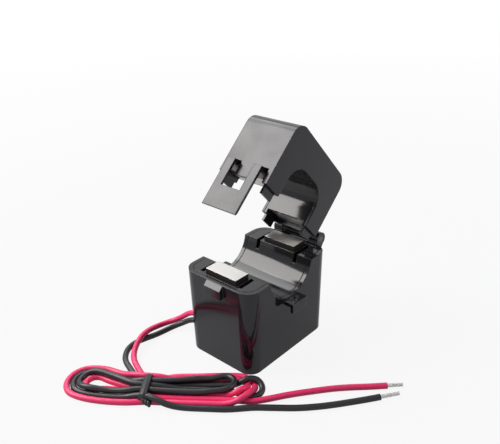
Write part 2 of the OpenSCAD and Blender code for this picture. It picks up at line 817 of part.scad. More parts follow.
lower_case();
inner_cover();
lower_core();
bobbin_top();
bobbin_bottom();
winding();
winding_tape();
surge_suppressor();
red_splice();
black_splice();
lead_bush();
hinge_pin();
lid_shell();
lid_lining();
upper_core();
core_spring();
red_lead();
black_lead();
lead_hank();
hank_tie();
red_tail();
black_tail();
red_tinned_end();
black_tinned_end();
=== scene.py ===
"""Looks of a split-core current transformer: its lid stands open and its two leads are tied in a hank.

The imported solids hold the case, cover, core, lid and hinge. This script gives each of them its finish,
lays the two insulated leads, winds and ties their hank, and lights the part on a pale floor.
All lengths are in metres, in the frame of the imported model.
"""

import logging
import math
from dataclasses import dataclass, field
from enum import Enum
from typing import Any, Callable, Optional, Sequence, Union

import bmesh
import bpy
import numpy as np
from mathutils import Matrix, Vector

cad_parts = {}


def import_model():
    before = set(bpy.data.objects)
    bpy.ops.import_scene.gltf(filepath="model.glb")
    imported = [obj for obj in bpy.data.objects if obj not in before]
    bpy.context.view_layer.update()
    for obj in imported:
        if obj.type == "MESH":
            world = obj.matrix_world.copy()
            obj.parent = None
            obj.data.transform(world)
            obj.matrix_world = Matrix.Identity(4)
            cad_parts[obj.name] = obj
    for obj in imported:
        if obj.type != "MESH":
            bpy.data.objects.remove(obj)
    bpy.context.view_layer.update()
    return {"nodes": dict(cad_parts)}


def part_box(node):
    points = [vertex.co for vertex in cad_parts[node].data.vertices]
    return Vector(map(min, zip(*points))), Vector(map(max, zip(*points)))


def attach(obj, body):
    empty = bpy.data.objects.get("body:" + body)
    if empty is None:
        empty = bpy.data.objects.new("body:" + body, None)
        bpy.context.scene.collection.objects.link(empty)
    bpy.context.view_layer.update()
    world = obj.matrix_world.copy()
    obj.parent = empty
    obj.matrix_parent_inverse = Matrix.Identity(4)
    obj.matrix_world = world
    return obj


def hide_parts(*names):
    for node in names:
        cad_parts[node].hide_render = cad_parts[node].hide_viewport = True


MM = 0.001
TINY = 1e-9
CASE_BODY = "case"
LOG = logging.getLogger("current_transformer")

Point = tuple[float, float, float]
Pair = tuple[float, float]
Route = tuple[Point, ...]


class Side(Enum):
    """The two ends of the tied hank."""

    LEFT = -1
    RIGHT = 1


class Layer(Enum):
    """The two layers of strands that lie under the tie, as heights of their middles."""

    LOW = 0.98 * MM
    HIGH = 2.3 * MM


# ---- shader graph


class Signal:
    """One output of a shader graph, with arithmetic that adds Math nodes."""

    def __init__(self, graph: "Graph", socket: bpy.types.NodeSocket) -> None:
        """Keeps the graph and the socket."""
        self.graph = graph
        self.socket = socket

    def _join(self, operation: str, left: Any, right: Any) -> "Signal":
        """Adds one Math node.

        Args:
            operation: The Math node's operation.
            left: The first operand.
            right: The second operand.

        Returns:
            The node's value.
        """
        node = self.graph.add("ShaderNodeMath", {"operation": operation}, {0: left, 1: right})
        return Signal(self.graph, node.outputs[0])

    def __add__(self, other: Any) -> "Signal":
        """Self plus other."""
        return self._join("ADD", self, other)

    __radd__ = __add__

    def __sub__(self, other: Any) -> "Signal":
        """Self minus other."""
        return self._join("SUBTRACT", self, other)

    def __rsub__(self, other: Any) -> "Signal":
        """Other minus self."""
        return self._join("SUBTRACT", other, self)

    def __mul__(self, other: Any) -> "Signal":
        """Self times other."""
        return self._join("MULTIPLY", self, other)

    __rmul__ = __mul__

    def __gt__(self, other: Any) -> "Signal":
        """1 where self is greater than other, and otherwise 0."""
        return self._join("GREATER_THAN", self, other)


class Graph:
    """The shader graph of one material or of the world."""

    def __init__(self, owner: Union[bpy.types.Material, bpy.types.World], output: str) -> None:
        """Empties a graph and gives it its output node.

        Args:
            owner: The material or world that the graph belongs to.
            output: The output node's type.
        """
        owner.use_nodes = True
        self.owner = owner
        self.tree = owner.node_tree
        self.tree.nodes.clear()
        self.output = self.add(output)

    @classmethod
    def of_material(cls, name: str) -> "Graph":
        """The empty graph of a new material of that name."""
        return cls(bpy.data.materials.new(name), "ShaderNodeOutputMaterial")

    def add(
        self,
        kind: str,
        settings: Optional[dict[str, Any]] = None,
        sockets: Optional[dict[Union[int, str], Any]] = None,
    ) -> bpy.types.Node:
        """Adds a node.

        Args:
            kind: The node's type.
            settings: Its properties, which are set first.
            sockets: Its inputs, by name or index: each a Signal, an output socket or a plain value.

        Returns:
            The new node.
        """
        node = self.tree.nodes.new(kind)
        for name, value in (settings or {}).items():
            setattr(node, name, value)
        for key, value in (sockets or {}).items():
            source = value.socket if isinstance(value, Signal) else value
            if isinstance(source, bpy.types.NodeSocket):
                self.tree.links.new(source, node.inputs[key])
            else:
                node.inputs[key].default_value = source
        return node

    def place(self) -> bpy.types.NodeSocket:
        """The place on the object, in metres."""
        return self.add("ShaderNodeTexCoord").outputs["Object"]

    def facing(self, way: Point) -> Signal:
        """How squarely the surface faces a direction.

        Args:
            way: The direction, in the object's own axes.

        Returns:
            1 where the surface faces that way, and -1 where it faces away.
        """
        normal = self.add("ShaderNodeTexCoord").outputs["Normal"]
        node = self.add("ShaderNodeVectorMath", {"operation": "DOT_PRODUCT"}, {0: normal, 1: way})
        return Signal(self, node.outputs["Value"])

    def stretched(self, scale: Point) -> bpy.types.NodeSocket:
        """The place on the object with each axis scaled."""
        sockets = {"Vector": self.place(), "Scale": scale}
        return self.add("ShaderNodeMapping", {"vector_type": "POINT"}, sockets).outputs[0]

    def noise(
        self, scale: float, detail: float = 2.0, where: Optional[bpy.types.NodeSocket] = None
    ) -> Signal:
        """Smooth noise from 0 to 1.

        Args:
            scale: Waves per metre.
            detail: Octaves of detail.
            where: Coordinates, or None for the place on the object.

        Returns:
            The noise's value.
        """
        sockets = {"Vector": where or self.place(), "Scale": scale, "Detail": detail}
        return Signal(self, self.add("ShaderNodeTexNoise", None, sockets).outputs[0])

    def bands(self, scale: float, axis: str) -> Signal:
        """Even bands from 0 to 1 across one axis.

        Args:
            scale: Bands per metre, in the Wave node's own measure.
            axis: X, Y or Z.

        Returns:
            The bands' value.
        """
        settings = {"wave_type": "BANDS", "bands_direction": axis}
        sockets = {"Vector": self.place(), "Scale": scale, "Distortion": 0.4, "Detail": 1.0}
        return Signal(self, self.add("ShaderNodeTexWave", settings, sockets).outputs["Fac"])

    def blend(self, share: Any, low: Sequence[float], high: Sequence[float]) -> bpy.types.NodeSocket:
        """A colour between two others.

        Args:
            share: 0 for the low colour and 1 for the high one.
            low: The first colour.
            high: The second colour.

        Returns:
            The mixed colour.
        """
        sockets = {0: share, 6: (*low, 1), 7: (*high, 1)}
        return self.add("ShaderNodeMix", {"data_type": "RGBA"}, sockets).outputs[2]

    def relief(self, height: Signal, depth: float, edge: float) -> bpy.types.NodeSocket:
        """A normal with fine relief and softened edges.

        Args:
            height: The relief, from 0 to 1.
            depth: The relief's depth in metres.
            edge: Radius by which edges look rounded, or 0 for none.

        Returns:
            The normal.
        """
        sockets = {"Height": height, "Distance": depth, "Strength": 1.0}
        if edge:
            sockets["Normal"] = self.add("ShaderNodeBevel", {"samples": 6}, {"Radius": edge}).outputs[0]
        return self.add("ShaderNodeBump", None, sockets).outputs[0]

    def end(self, shader: bpy.types.Node) -> None:
        """Links the last shader to the output."""
        self.tree.links.new(shader.outputs[0], self.output.inputs[0])

    def surface(self, sockets: dict[str, Any]) -> bpy.types.Material:
        """Ends the graph in a Principled surface.

        Args:
            sockets: The shader's values and links.

        Returns:
            The finished material.
        """
        self.end(self.add("ShaderNodeBsdfPrincipled", None, sockets))
        return self.owner


# ---- finishes


@dataclass(frozen=True)
class PolishedPlastic:
    """Black moulded plastic from a polished tool, with faint flow ripple and dust.

    Its bloom is how much rougher it gets in soft clouds, and its wave is the depth of the flow ripple.
    """

    name: str
    colour: Point = (0.012, 0.012, 0.016)
    roughness: float = 0.09
    edge: float = 0.22 * MM
    bloom: float = 0.04
    wave: float = 0.007 * MM

    def material(self) -> bpy.types.Material:
        """Builds the finish.

        Returns:
            The new material.
        """
        g = Graph.of_material(self.name)
        ripple = g.noise(240, 1.0)
        grain = g.noise(5200, 2.0)
        dust = g.noise(2600, 3.0) > 0.74
        cloud = g.noise(150, 2.0)
        return g.surface(
            {
                "Base Color": g.blend(dust * 0.5, self.colour, (0.10, 0.10, 0.105)),
                "Roughness": self.roughness + (grain - 0.5) * 0.05 + cloud * self.bloom + dust * 0.2,
                "Normal": g.relief(ripple + grain * 0.03, self.wave, self.edge),
                "Specular IOR Level": 0.46,
            }
        )


@dataclass(frozen=True)
class GroundCore:
    """Varnished core steel whose pole faces are ground bright."""

    name: str
    pole_way: Point
    sheets_per_m: float = 900.0

    def material(self) -> bpy.types.Material:
        """Builds the finish.

        Returns:
            The new material.
        """
        g = Graph.of_material(self.name)
        ground = g.facing(self.pole_way) > 0.9
        sheets = g.bands(self.sheets_per_m, "X")
        scratches = g.noise(900, 3.0, g.stretched((1.0, 14.0, 1.0)))
        bright = g.blend(sheets * 0.25, (0.63, 0.62, 0.60), (0.52, 0.505, 0.48))
        varnish = g.blend(g.noise(500, 3.0), (0.010, 0.006, 0.005), (0.024, 0.014, 0.010))
        mixed = g.add("ShaderNodeMix", {"data_type": "RGBA"}, {0: ground, 6: varnish, 7: bright})
        return g.surface(
            {
                "Base Color": mixed.outputs[2],
                "Metallic": 0.25 + 0.7 * ground,
                "Roughness": 0.42 - 0.12 * ground + 0.1 * scratches,
                "Normal": g.relief(sheets * 0.6 + scratches * 0.4, 0.006 * MM, 0.08 * MM),
            }
        )


@dataclass(frozen=True)
class Insulation:
    """Satin PVC insulation, with the faint waviness and handling marks of stranded hook-up wire."""

    name: str
    colour: Point
    shade: Point
    roughness: float = 0.36

    def material(self) -> bpy.types.Material:
        """Builds the finish.

        Returns:
            The new material.
        """
        g = Graph.of_material(self.name)
        wave = g.noise(700, 2.0)
        scuff = g.noise(2400, 3.0)
        return g.surface(
            {
                "Base Color": g.blend(wave * 0.5 + scuff * 0.2, self.colour, self.shade),
                "Roughness": self.roughness + (scuff - 0.5) * 0.16,
                "Normal": g.relief(wave + scuff * 0.2, 0.03 * MM, 0),
            }
        )


@dataclass(frozen=True)
class BareMetal:
    """Bright metal with a fine drawn or brushed grain."""

    name: str
    colour: Point
    roughness: float
    grain: Point = (1.0, 1.0, 1.0)
    depth: float = 0.01 * MM

    def material(self) -> bpy.types.Material:
        """Builds the finish.

        Returns:
            The new material.
        """
        g = Graph.of_material(self.name)
        grain = g.noise(2500, 3.0, g.stretched(self.grain))
        dull = g.noise(420, 2.0)
        dark = tuple(0.7 * c for c in self.colour)
        return g.surface(
            {
                "Base Color": g.blend(dull * 0.6, self.colour, dark),
                "Metallic": 1.0,
                "Roughness": self.roughness + (grain - 0.5) * 0.2,
                "Normal": g.relief(grain, self.depth, 0.05 * MM),
            }
        )


@dataclass(frozen=True)
class PlainMoulding:
    """A matt moulded or rubber part, mottled a little and softly worn at its edges."""

    name: str
    colour: Point
    roughness: float
    grain: float = 1800.0
    depth: float = 0.02 * MM

    def material(self) -> bpy.types.Material:
        """Builds the finish.

        Returns:
            The new material.
        """
        g = Graph.of_material(self.name)
        grain = g.noise(self.grain, 3.0)
        dark = tuple(0.75 * c for c in self.colour)
        return g.surface(
            {
                "Base Color": g.blend(grain * 0.7, self.colour, dark),
                "Roughness": self.roughness + (grain - 0.5) * 0.15,
                "Normal": g.relief(grain, self.depth, 0.1 * MM),
            }
        )


@dataclass(frozen=True)
class WoundWire:
    """Fine enamelled wire wound in close turns along the yoke."""

    name: str
    colour: Point = (0.46, 0.16, 0.06)
    turns_per_m: float = 1900.0

    def material(self) -> bpy.types.Material:
        """Builds the finish.

        Returns:
            The new material.
        """
        g = Graph.of_material(self.name)
        turns = g.bands(self.turns_per_m, "Y")
        tone = g.noise(600, 2.0)
        return g.surface(
            {
                "Base Color": g.blend(turns * 0.4 + tone * 0.3, self.colour, (0.16, 0.05, 0.02)),
                "Metallic": 0.7,
                "Roughness": 0.28 + 0.15 * tone,
                "Normal": g.relief(turns, 0.05 * MM, 0),
            }
        )


FINISHES = {
    "lower_case": PolishedPlastic("case_black"),
    "inner_cover": PolishedPlastic("cover_black", (0.014, 0.014, 0.016), 0.09, 0.18 * MM),
    "lid_shell": PolishedPlastic("lid_black", (0.012, 0.012, 0.016), 0.05, 0.3 * MM, 0.4, 0.013 * MM),
    "lid_lining": PolishedPlastic("lining_black", (0.016, 0.016, 0.018), 0.1, 0.12 * MM),
    "bobbin_top": PlainMoulding("bobbin_nylon", (0.74, 0.70, 0.60), 0.5),
    "bobbin_bottom": PlainMoulding("bobbin_nylon_lower", (0.74, 0.70, 0.60), 0.5),
    "winding": WoundWire("copper_wire"),
    "winding_tape": PlainMoulding("yellow_tape", (0.80, 0.55, 0.07), 0.3, 900.0, 0.01 * MM),
    "surge_suppressor": PlainMoulding("diode_body", (0.03, 0.03, 0.035), 0.3),
    "red_splice": PlainMoulding("sleeve_black", (0.02, 0.02, 0.022), 0.45),
    "black_splice": PlainMoulding("sleeve_black_lower", (0.02, 0.02, 0.022), 0.45),
    "lead_bush": PlainMoulding("bush_rubber", (0.022, 0.022, 0.024), 0.5),
    "hinge_pin": BareMetal("pin_steel", (0.16, 0.16, 0.17), 0.3, (1.0, 12.0, 12.0)),
    "core_spring": BareMetal("spring_steel", (0.55, 0.55, 0.57), 0.3, (1.0, 9.0, 1.0)),
}

RED_PVC = Insulation("lead_red", (0.96, 0.045, 0.185), (0.86, 0.026, 0.125))
BLACK_PVC = Insulation("lead_black", (0.024, 0.024, 0.027), (0.012, 0.012, 0.014))
TINNED = BareMetal("tinned_copper", (0.78, 0.77, 0.75), 0.3)
TIE_PLASTIC = PlainMoulding("tie_black", (0.03, 0.03, 0.032), 0.42, 3000.0, 0.03 * MM)


# ---- helpers


def link(thing: bpy.types.Object) -> bpy.types.Object:
    """Puts an object in the scene and returns it."""
    bpy.context.scene.collection.objects.link(thing)
    return thing


def paint(thing: bpy.types.Object, finish: bpy.types.Material) -> None:
    """Gives every slot of an object one material.

    Args:
        thing: The object.
        finish: The material.
    """
    if not thing.material_slots:
        thing.data.materials.append(finish)
    for slot in thing.material_slots:
        slot.material = finish


def ease(share: float) -> float:
    """A share from 0 to 1 that starts and ends gently."""
    share = min(1.0, max(0.0, share))
    return share * share * (3 - 2 * share)


def tube_mesh(name: str, line: np.ndarray, radius: Callable[[float], float], sides: int) -> bpy.types.Mesh:
    """A closed round tube along a line.

    Args:
        name: The mesh's name.
        line: Points along the tube's middle.
        radius: The tube's radius at a share of its length.
        sides: Sides of the tube.

    Returns:
        The mesh.
    """
    bm = bmesh.new()
    last = len(line) - 1
    side = None
    rings = []
    for i in range(last + 1):
        way = Vector(line[min(i + 1, last)] - line[max(i - 1, 0)]).normalized()
        if side is None:
            side = way.orthogonal().normalized()
        side = (side - way * side.dot(way)).normalized()
        up = way.cross(side)
        r = radius(i / last)
        turns = [2 * math.pi * k / sides for k in range(sides)]
        ring = [Vector(line[i]) + r * (math.cos(t) * side + math.sin(t) * up) for t in turns]
        rings.append([bm.verts.new(place) for place in ring])
    for a, b in zip(rings, rings[1:]):
        for k in range(sides):
            bm.faces.new((a[k], a[(k + 1) % sides], b[(k + 1) % sides], b[k]))
    bm.faces.new(rings[0][::-1])
    bm.faces.new(rings[-1])
    mesh = bpy.data.meshes.new(name)
    bm.to_mesh(mesh)
    bm.free()
    for face in mesh.polygons:
        face.use_smooth = len(face.vertices) == 4
    return mesh


# ---- studio


@dataclass(frozen=True)
class Softbox:
    """A rectangular lamp that faces the part from one direction."""

    name: str
    way: Point
    reach: float
    size: Pair
    watts: float
    tint: Point = (1, 1, 1)
    aim: Point = (0, 0, 0.02)

    def hang(self) -> None:
        """Puts the lamp in the scene."""
        data = bpy.data.lights.new(self.name, "AREA")
        data.shape = "RECTANGLE"
        data.size, data.size_y = self.size
        data.energy = self.watts
        data.color = self.tint
        lamp = link(bpy.data.objects.new(self.name, data))
        lamp.location = Vector(self.way).normalized() * self.reach + Vector(self.aim)
        lamp.rotation_euler = Vector(self.way).to_track_quat("Z", "Y").to_euler()


@dataclass
class Studio:
    """The floor, the lamps, the surroundings and the camera."""

    eye: Point = (0.092669, -0.104438, 0.100978)
    azimuth: float = 42.204
    elevation: float = 25.859
    roll: float = -1.448
    lens: float = 45.579
    sensor_w: float = 36
    clip: Pair = (0.005, 20)
    floor_size: float = 3.0
    floor_shade: Point = (0.46, 0.46, 0.47)
    near_white: float = 0.9
    fade: Pair = (0.10, 0.42)
    mirrored: float = 0.45
    dim_colour: Point = (0.87, 0.89, 1.0)
    dim_strength: float = 0.22
    lamps: tuple[Softbox, ...] = (
        Softbox("key", (-0.604, -0.381, 0.70), 1.0, (0.62, 0.62), 9.9, (1.0, 0.975, 0.955)),
        Softbox("sweep", (-0.60, 0.67, 0.44), 1.3, (1.1, 0.9), 1.55),
        Softbox("bridge", (-0.62, 0.22, 0.75), 1.1, (0.55, 0.42), 3.2),
        Softbox("side", (0.9, 0.5, 0.55), 1.2, (0.5, 0.7), 2.2),
    )

    def camera(self) -> None:
        """Places the camera and makes it the scene's own."""
        a, e, r = (math.radians(x) for x in (self.azimuth, self.elevation, self.roll))
        right = Vector((math.cos(a), math.sin(a), 0))
        back = Vector((math.sin(a) * math.cos(e), -math.cos(a) * math.cos(e), math.sin(e)))
        up = back.cross(right)
        turned = (right * math.cos(r) + up * math.sin(r), up * math.cos(r) - right * math.sin(r), back)
        data = bpy.data.cameras.new("camera")
        data.lens = self.lens
        data.sensor_width = self.sensor_w
        data.clip_start, data.clip_end = self.clip
        eye = link(bpy.data.objects.new("camera", data))
        eye.matrix_world = Matrix.Translation(self.eye) @ Matrix(turned).transposed().to_4x4()
        bpy.context.scene.camera = eye

    def white_share(self, g: Graph) -> Signal:
        """How white the background is to a ray: wholly to the camera, and partly in mirrors and glass.

        Args:
            g: The graph of the floor or the world.

        Returns:
            The share of plain white.
        """
        rays = g.add("ShaderNodeLightPath").outputs
        mirrored = Signal(g, rays["Is Glossy Ray"]) + Signal(g, rays["Is Transmission Ray"])
        return Signal(g, rays["Is Camera Ray"]) + mirrored * self.mirrored

    def floor(self) -> None:
        """Lays the pale floor, which keeps the part's soft shadow and fades to white away from it."""
        bm = bmesh.new()
        bmesh.ops.create_grid(bm, x_segments=1, y_segments=1, size=self.floor_size / 2)
        mesh = bpy.data.meshes.new("floor")
        bm.to_mesh(mesh)
        bm.free()
        g = Graph.of_material("floor_white")
        shade = g.add("ShaderNodeBsdfDiffuse", None, {"Color": (*self.floor_shade, 1)})
        glow = g.add("ShaderNodeEmission", None, {"Color": (1, 1, 1, 1), "Strength": 1.0})
        away = g.add("ShaderNodeVectorMath", {"operation": "LENGTH"}, {0: g.place()}).outputs["Value"]
        steps = {0: away, 1: self.fade[0], 2: self.fade[1], 3: self.near_white, 4: 1.0}
        whiter = Signal(g, g.add("ShaderNodeMapRange", None, steps).outputs[0])
        mixed = {0: self.white_share(g) * whiter, 1: shade.outputs[0], 2: glow.outputs[0]}
        g.end(g.add("ShaderNodeMixShader", None, mixed))
        floor = link(bpy.data.objects.new("floor", mesh))
        paint(floor, g.owner)

    def surround(self) -> None:
        """Gives the world a dim even light, and white behind the part."""
        world = bpy.data.worlds.new("surround")
        bpy.context.scene.world = world
        g = Graph(world, "ShaderNodeOutputWorld")
        dim_light = {"Color": (*self.dim_colour, 1), "Strength": self.dim_strength}
        dim = g.add("ShaderNodeBackground", None, dim_light)
        white = g.add("ShaderNodeBackground", None, {"Color": (1, 1, 1, 1)})
        mixed = {0: self.white_share(g), 1: dim.outputs[0], 2: white.outputs[0]}
        g.end(g.add("ShaderNodeMixShader", None, mixed))

    def build(self) -> None:
        """Sets up everything round the part."""
        self.camera()
        self.floor()
        self.surround()
        for lamp in self.lamps:
            lamp.hang()
        bpy.context.scene.view_settings.view_transform = "Standard"


# ---- leads


@dataclass(frozen=True)
class Turn:
    """One turn of a lead: out from the tie, round a lobe's end and back. Distances are in millimetres.

    Attributes:
        side: The lobe.
        start: The column and layer that it leaves the tie in.
        end: The column and layer that it comes back in.
        reach: How far the turn's end lies from the tie.
        sides: Distances across the lobe of the outgoing and the returning run.
        heights: Heights of the two runs where the round end meets them.
        halfway: Distance across and height of each run halfway along the lobe.
        drop: Shares of the round end between which its height changes.
    """

    side: Side
    start: tuple[int, Layer]
    end: tuple[int, Layer]
    reach: float
    sides: Pair
    heights: Pair
    halfway: tuple[Pair, Pair]
    drop: Pair = (0.0, 1.0)


@dataclass
class HankLayout:
    """Where the two leads run inside the tied hank.

    The hank lies flat, bends a little at its tie and has one lobe on each side. Each turn leaves the tie
    in one column and layer of strands and comes back in another.

    Attributes:
        tied: The tie's place on the table, with the lobes' far ends in left and right.
        corner: The middle of the case's round corner that the leads pass.
        tie_reach: Half the length and half the width of the stretch that the tie holds.
        tie_columns: Half the width of the strands under the tie, in columns a pitch apart.
        least_step: Guiding points nearer than this to the last one are left out.
    """

    tied: Pair = (-4.8 * MM, -34.9 * MM)
    left: Pair = (-19 * MM, -41.4 * MM)
    right: Pair = (14 * MM, -19.3 * MM)
    tie_angle: float = 38.0
    pitch: float = 1.52 * MM
    lead_d: float = 1.5 * MM
    spacing: float = 0.75 * MM
    least_bend: float = 3.4 * MM
    corner: Pair = (7.35 * MM, -11.5 * MM)
    corner_r: float = 3.8 * MM
    tie_reach: Pair = (1 * MM, 6 * MM)
    tie_columns: float = 2.25
    tie_slack: float = 0.05 * MM
    run_points: int = 8
    fold_steps: int = 14
    least_step: float = 0.3 * MM
    fine_step: float = 0.2 * MM

    def tie_axes(self) -> tuple[np.ndarray, np.ndarray]:
        """The directions along the hank and across it at the tie."""
        a = math.radians(self.tie_angle)
        return np.array([math.cos(a), math.sin(a)]), np.array([-math.sin(a), math.cos(a)])

    def lobe_axes(self, side: Side) -> tuple[np.ndarray, np.ndarray]:
        """The directions out along one lobe and across it.

        Args:
            side: The lobe.

        Returns:
            The direction from the tie to the lobe's end, and the one square to it, towards the case.
        """
        end = self.left if side is Side.LEFT else self.right
        out = np.array(end) - np.array(self.tied)
        out = out / np.linalg.norm(out)
        return out, np.array([-out[1], out[0]]) * side.value

    def under_tie(self, column: int, layer: Layer) -> np.ndarray:
        """The place under the tie of one column and layer."""
        flat = np.array(self.tied) + column * self.pitch * self.tie_axes()[1]
        return np.array([flat[0], flat[1], layer.value])

    def lay(self, turn: Turn) -> np.ndarray:
        """Lays one turn of a lead.

        Args:
            turn: The turn.

        Returns:
            The turn's points.
        """
        out, across = self.lobe_axes(turn.side)
        along = self.tie_axes()[0] * turn.side.value
        going, coming = turn.sides
        r = abs(going - coming) / 2
        middle = (going + coming) / 2
        straight = turn.reach - r

        def place(s: float, n: float, z: float) -> np.ndarray:
            """A point of the lobe, from distances in millimetres."""
            flat = np.array(self.tied) + (s * out + n * across) * MM
            return np.array([flat[0], flat[1], z * MM])

        def run(a: np.ndarray, a_way: np.ndarray, b: np.ndarray, b_way: np.ndarray) -> list[np.ndarray]:
            """A smooth run between two points.

            Args:
                a: The first point.
                a_way: The run's direction and speed there.
                b: The last point.
                b_way: The run's direction and speed there.

            Returns:
                The run's points.
            """
            points = []
            for t in np.linspace(0, 1, self.run_points):
                h = ease(t)
                points.append((1 - h) * a + h * b + (t**3 - 2 * t**2 + t) * a_way + (t**3 - t**2) * b_way)
            return points

        tie_way = np.array([*along, 0]) * straight * MM / 2
        lobe_way = np.array([*out, 0]) * straight * MM / 2
        first, last = (place(straight / 2, *half) for half in turn.halfway)
        z_going, z_coming = turn.heights
        away, back = place(straight, going, z_going), place(straight, coming, z_coming)
        points = run(self.under_tie(*turn.start), tie_way, first, lobe_way)
        points += run(first, lobe_way, away, lobe_way)
        for k in range(1, self.fold_steps):
            share = k / self.fold_steps
            h = ease((share - turn.drop[0]) / (turn.drop[1] - turn.drop[0]))
            z = z_going + (z_coming - z_going) * h
            t = math.pi * share
            points.append(place(straight + r * math.sin(t), middle + (going - middle) * math.cos(t), z))
        points += run(back, -lobe_way, last, -lobe_way)
        points += run(last, -lobe_way, self.under_tie(*turn.end), -tie_way)
        return np.array(points)

    def spaced(self, points: Sequence[Sequence[float]]) -> np.ndarray:
        """Points an even step apart on a smooth curve through the given ones.

        Args:
            points: The curve's points.

        Returns:
            The evenly spaced points.
        """
        kept: list[np.ndarray] = []
        for p in points:
            p = np.array(p, float)
            if not kept or np.linalg.norm(p - kept[-1]) > self.least_step:
                kept.append(p)
        fine = []
        for i in range(len(kept) - 1):
            a, b, c, d = (kept[min(max(i + k, 0), len(kept) - 1)] for k in (-1, 0, 1, 2))
            count = max(1, round(float(np.linalg.norm(c - b)) / self.fine_step))
            for t in np.arange(count) / count:
                bent = (2 * a - 5 * b + 4 * c - d) * t**2 + (3 * b - a - 3 * c + d) * t**3
                fine.append((2 * b + (c - a) * t + bent) / 2)
        fine.append(kept[-1])
        line = np.array(fine)
        along = np.concatenate([[0], np.cumsum(np.linalg.norm(np.diff(line, axis=0), axis=1))])
        at = np.linspace(0, along[-1], round(along[-1] / self.spacing) + 1)
        return np.stack([np.interp(at, along, line[:, k]) for k in range(3)], axis=1)


